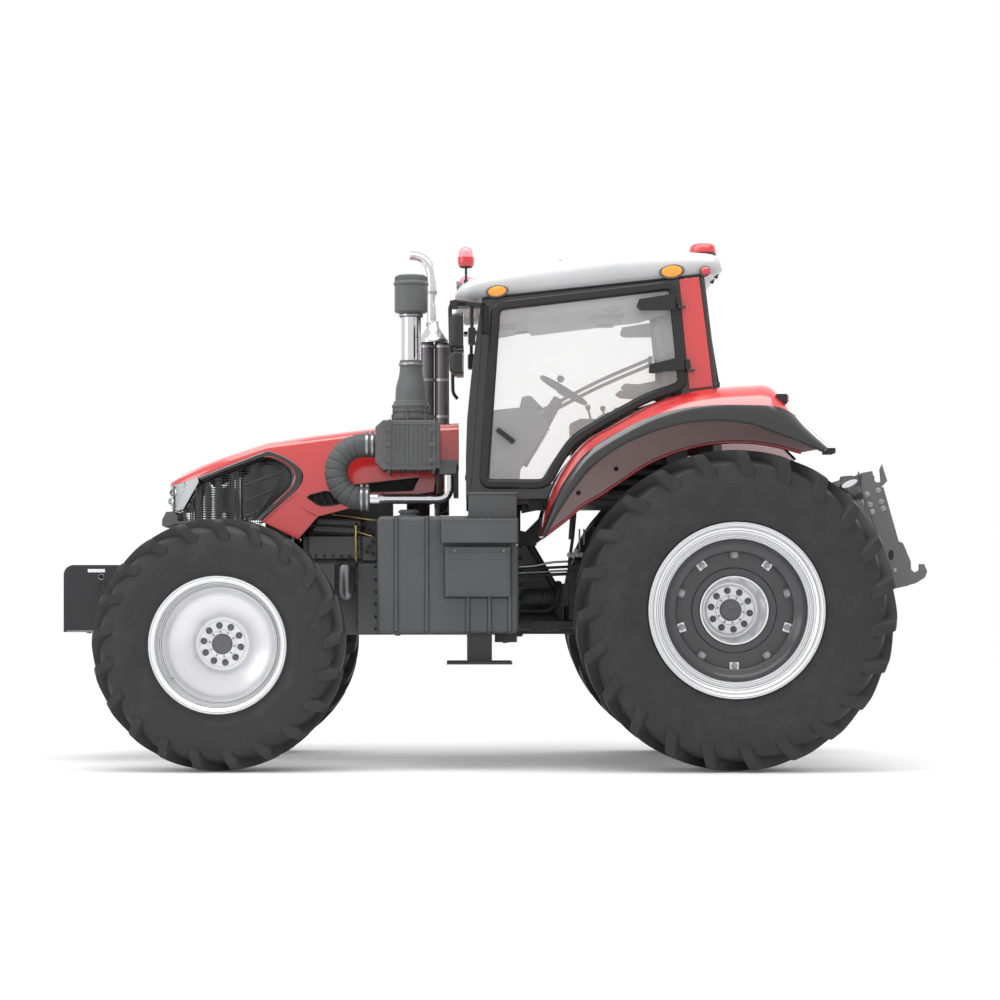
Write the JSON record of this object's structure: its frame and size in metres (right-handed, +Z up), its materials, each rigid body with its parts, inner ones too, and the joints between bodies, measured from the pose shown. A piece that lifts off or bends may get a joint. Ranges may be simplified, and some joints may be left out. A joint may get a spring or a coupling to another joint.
{
  "type": "four-wheel-drive farm tractor with cab",
  "caption": "Farm tractor with a closed cab, large rear wheels, steered front axle, tilting hood, side doors and a rear linkage with hook frame.",
  "frame": {"origin": "on the ground at the middle of the tractor's overall length and width", "axes": "+X forward, +Y to the tractor's left, +Z up"},
  "size_m": [5.107, 2.3218, 3.1629],
  "materials": {
    "red_paint": "gloss",
    "black_paint": "satin",
    "grey_casting": "matt paint",
    "tyre": "matt",
    "silver_wheel": "gloss silver",
    "glass": "clear",
    "roof_plastic": "gloss",
    "grey_plastic": "matt",
    "hose_rubber": "matt",
    "chrome": "polished",
    "seat_cloth": "woven",
    "lamp_red": "translucent",
    "lamp_silver": "clear",
    "grille_mesh": "dark"
  },
  "bodies": {
    "chassis": {"engine_block": "grey_casting", "transmission_housing": "grey_casting", "rear_axle_housing": "grey_casting", "front_frame": "black_paint", "front_axle": "grey_casting", "weight_carrier": "black_paint", "radiator": "grey_casting", "cowl_frame": "grey_casting", "cab_frame": "black_paint", "cab_floor": "black_paint", "cab_glass": "glass", "roof": "roof_plastic", "fenders": "red_paint", "seat": "seat_cloth", "seat_base": "grey_plastic", "dashboard": "grey_plastic", "steering_wheel": "grey_plastic", "fuel_tanks": "grey_plastic", "step_boxes": "grey_plastic", "steps": "black_paint", "air_cleaner": "grey_plastic", "intake_hose": "hose_rubber", "charge_pipe": "chrome", "intake_stack": "grey_plastic", "exhaust_stack": "grey_plastic", "mirrors": "black_paint", "marker_lamps": "lamp_red", "beacon": "lamp_red", "drawbar": "grey_casting"},
    "knuckle_left": {"steering_knuckle_left": "grey_casting"},
    "front_wheel_left": {"front_tyre_left": "tyre", "front_rim_left": "silver_wheel"},
    "rear_wheel_left": {"rear_tyre_left": "tyre", "rear_rim_left": "silver_wheel"},
    "door_left": {"door_left": "black_paint", "door_glass_left": "glass"},
    "knuckle_right": {"steering_knuckle_right": "grey_casting"},
    "front_wheel_right": {"front_tyre_right": "tyre", "front_rim_right": "silver_wheel"},
    "rear_wheel_right": {"rear_tyre_right": "tyre", "rear_rim_right": "silver_wheel"},
    "door_right": {"door_right": "black_paint", "door_glass_right": "glass"},
    "tie_rod": {"tie_rod": "grey_casting"},
    "hood": {"hood": "red_paint", "hood_grilles": "grille_mesh", "headlights": "lamp_silver"},
    "lower_links": {"lower_links": "black_paint"},
    "lift_arms": {"lift_arms": "black_paint"},
    "lift_rods": {"lift_rods": "black_paint"},
    "top_link": {"top_link": "black_paint"},
    "hitch_frame": {"hitch_frame": "black_paint"}
  },
  "joints": [
    {"name": "steer_left", "type": "hinge", "parent": "chassis", "child": "knuckle_left", "pos_m": [1.5655, 0.65, 0.722], "axis": [0, 0, 1], "range_deg": [-35, 35]},
    {"name": "steer_right", "type": "hinge", "parent": "chassis", "child": "knuckle_right", "pos_m": [1.5655, -0.65, 0.722], "axis": [0, 0, 1], "range_deg": [-35, 35]},
    {"name": "front_wheel_left_spin", "type": "hinge", "parent": "knuckle_left", "child": "front_wheel_left", "pos_m": [1.5655, 0.92, 0.722], "axis": [0, 1, 0], "continuous": true},
    {"name": "rear_wheel_left_spin", "type": "hinge", "parent": "chassis", "child": "rear_wheel_left", "pos_m": [-1.3715, 0.9, 0.9175], "axis": [0, 1, 0], "continuous": true},
    {"name": "front_wheel_right_spin", "type": "hinge", "parent": "knuckle_right", "child": "front_wheel_right", "pos_m": [1.5655, -0.92, 0.722], "axis": [0, 1, 0], "continuous": true},
    {"name": "rear_wheel_right_spin", "type": "hinge", "parent": "chassis", "child": "rear_wheel_right", "pos_m": [-1.3715, -0.9, 0.9175], "axis": [0, 1, 0], "continuous": true},
    {"name": "tie_rod_swing", "type": "hinge", "parent": "knuckle_left", "child": "tie_rod", "pos_m": [1.3655, 0.65, 0.602], "axis": [0, 0, 1], "range_deg": [-35.5, 35.5]},
    {"name": "hood_hinge", "type": "hinge", "parent": "chassis", "child": "hood", "pos_m": [0.2335, 0, 1.985], "axis": [0, -1, 0], "range_deg": [0, 50]},
    {"name": "door_left_hinge", "type": "hinge", "parent": "chassis", "child": "door_left", "pos_m": [-1.1145, 0.862, 2.331], "axis": [0.141, 0, 0.99], "range_deg": [0, 75]},
    {"name": "door_right_hinge", "type": "hinge", "parent": "chassis", "child": "door_right", "pos_m": [-1.1145, -0.862, 2.331], "axis": [-0.141, 0, -0.99], "range_deg": [0, 75]},
    {"name": "hitch_lift", "type": "hinge", "parent": "chassis", "child": "lower_links", "pos_m": [-1.5265, 0, 0.6], "axis": [0, -1, 0], "range_deg": [0, 38]},
    {"name": "hitch_frame_tilt", "type": "hinge", "parent": "lower_links", "child": "hitch_frame", "pos_m": [-2.4365, 0, 1.12], "axis": [0, -1, 0], "range_deg": [-19.6, 0]},
    {"name": "top_link_swing", "type": "hinge", "parent": "chassis", "child": "top_link", "pos_m": [-1.6415, 0, 1.05], "axis": [0, -1, 0], "range_deg": [0, 50.9]},
    {"name": "lift_arm_swing", "type": "hinge", "parent": "chassis", "child": "lift_arms", "pos_m": [-1.4665, 0, 1.3], "axis": [0, -1, 0], "range_deg": [0, 40.1]},
    {"name": "lift_rod_swing", "type": "hinge", "parent": "lift_arms", "child": "lift_rods", "pos_m": [-1.9065, 0, 1.54], "axis": [0, -1, 0], "range_deg": [-41, 0]}
  ],
  "couplings": [
    {"joint": "steer_right", "follows": "steer_left", "ratio": 1},
    {"joint": "tie_rod_swing", "follows": "steer_left", "ratio": -1},
    {"joint": "hitch_frame_tilt", "follows": "hitch_lift", "ratio": -0.5036},
    {"joint": "top_link_swing", "follows": "hitch_lift", "ratio": 1.3256},
    {"joint": "lift_arm_swing", "follows": "hitch_lift", "ratio": 1.0426},
    {"joint": "lift_rod_swing", "follows": "hitch_lift", "ratio": -1.0661}
  ]
}
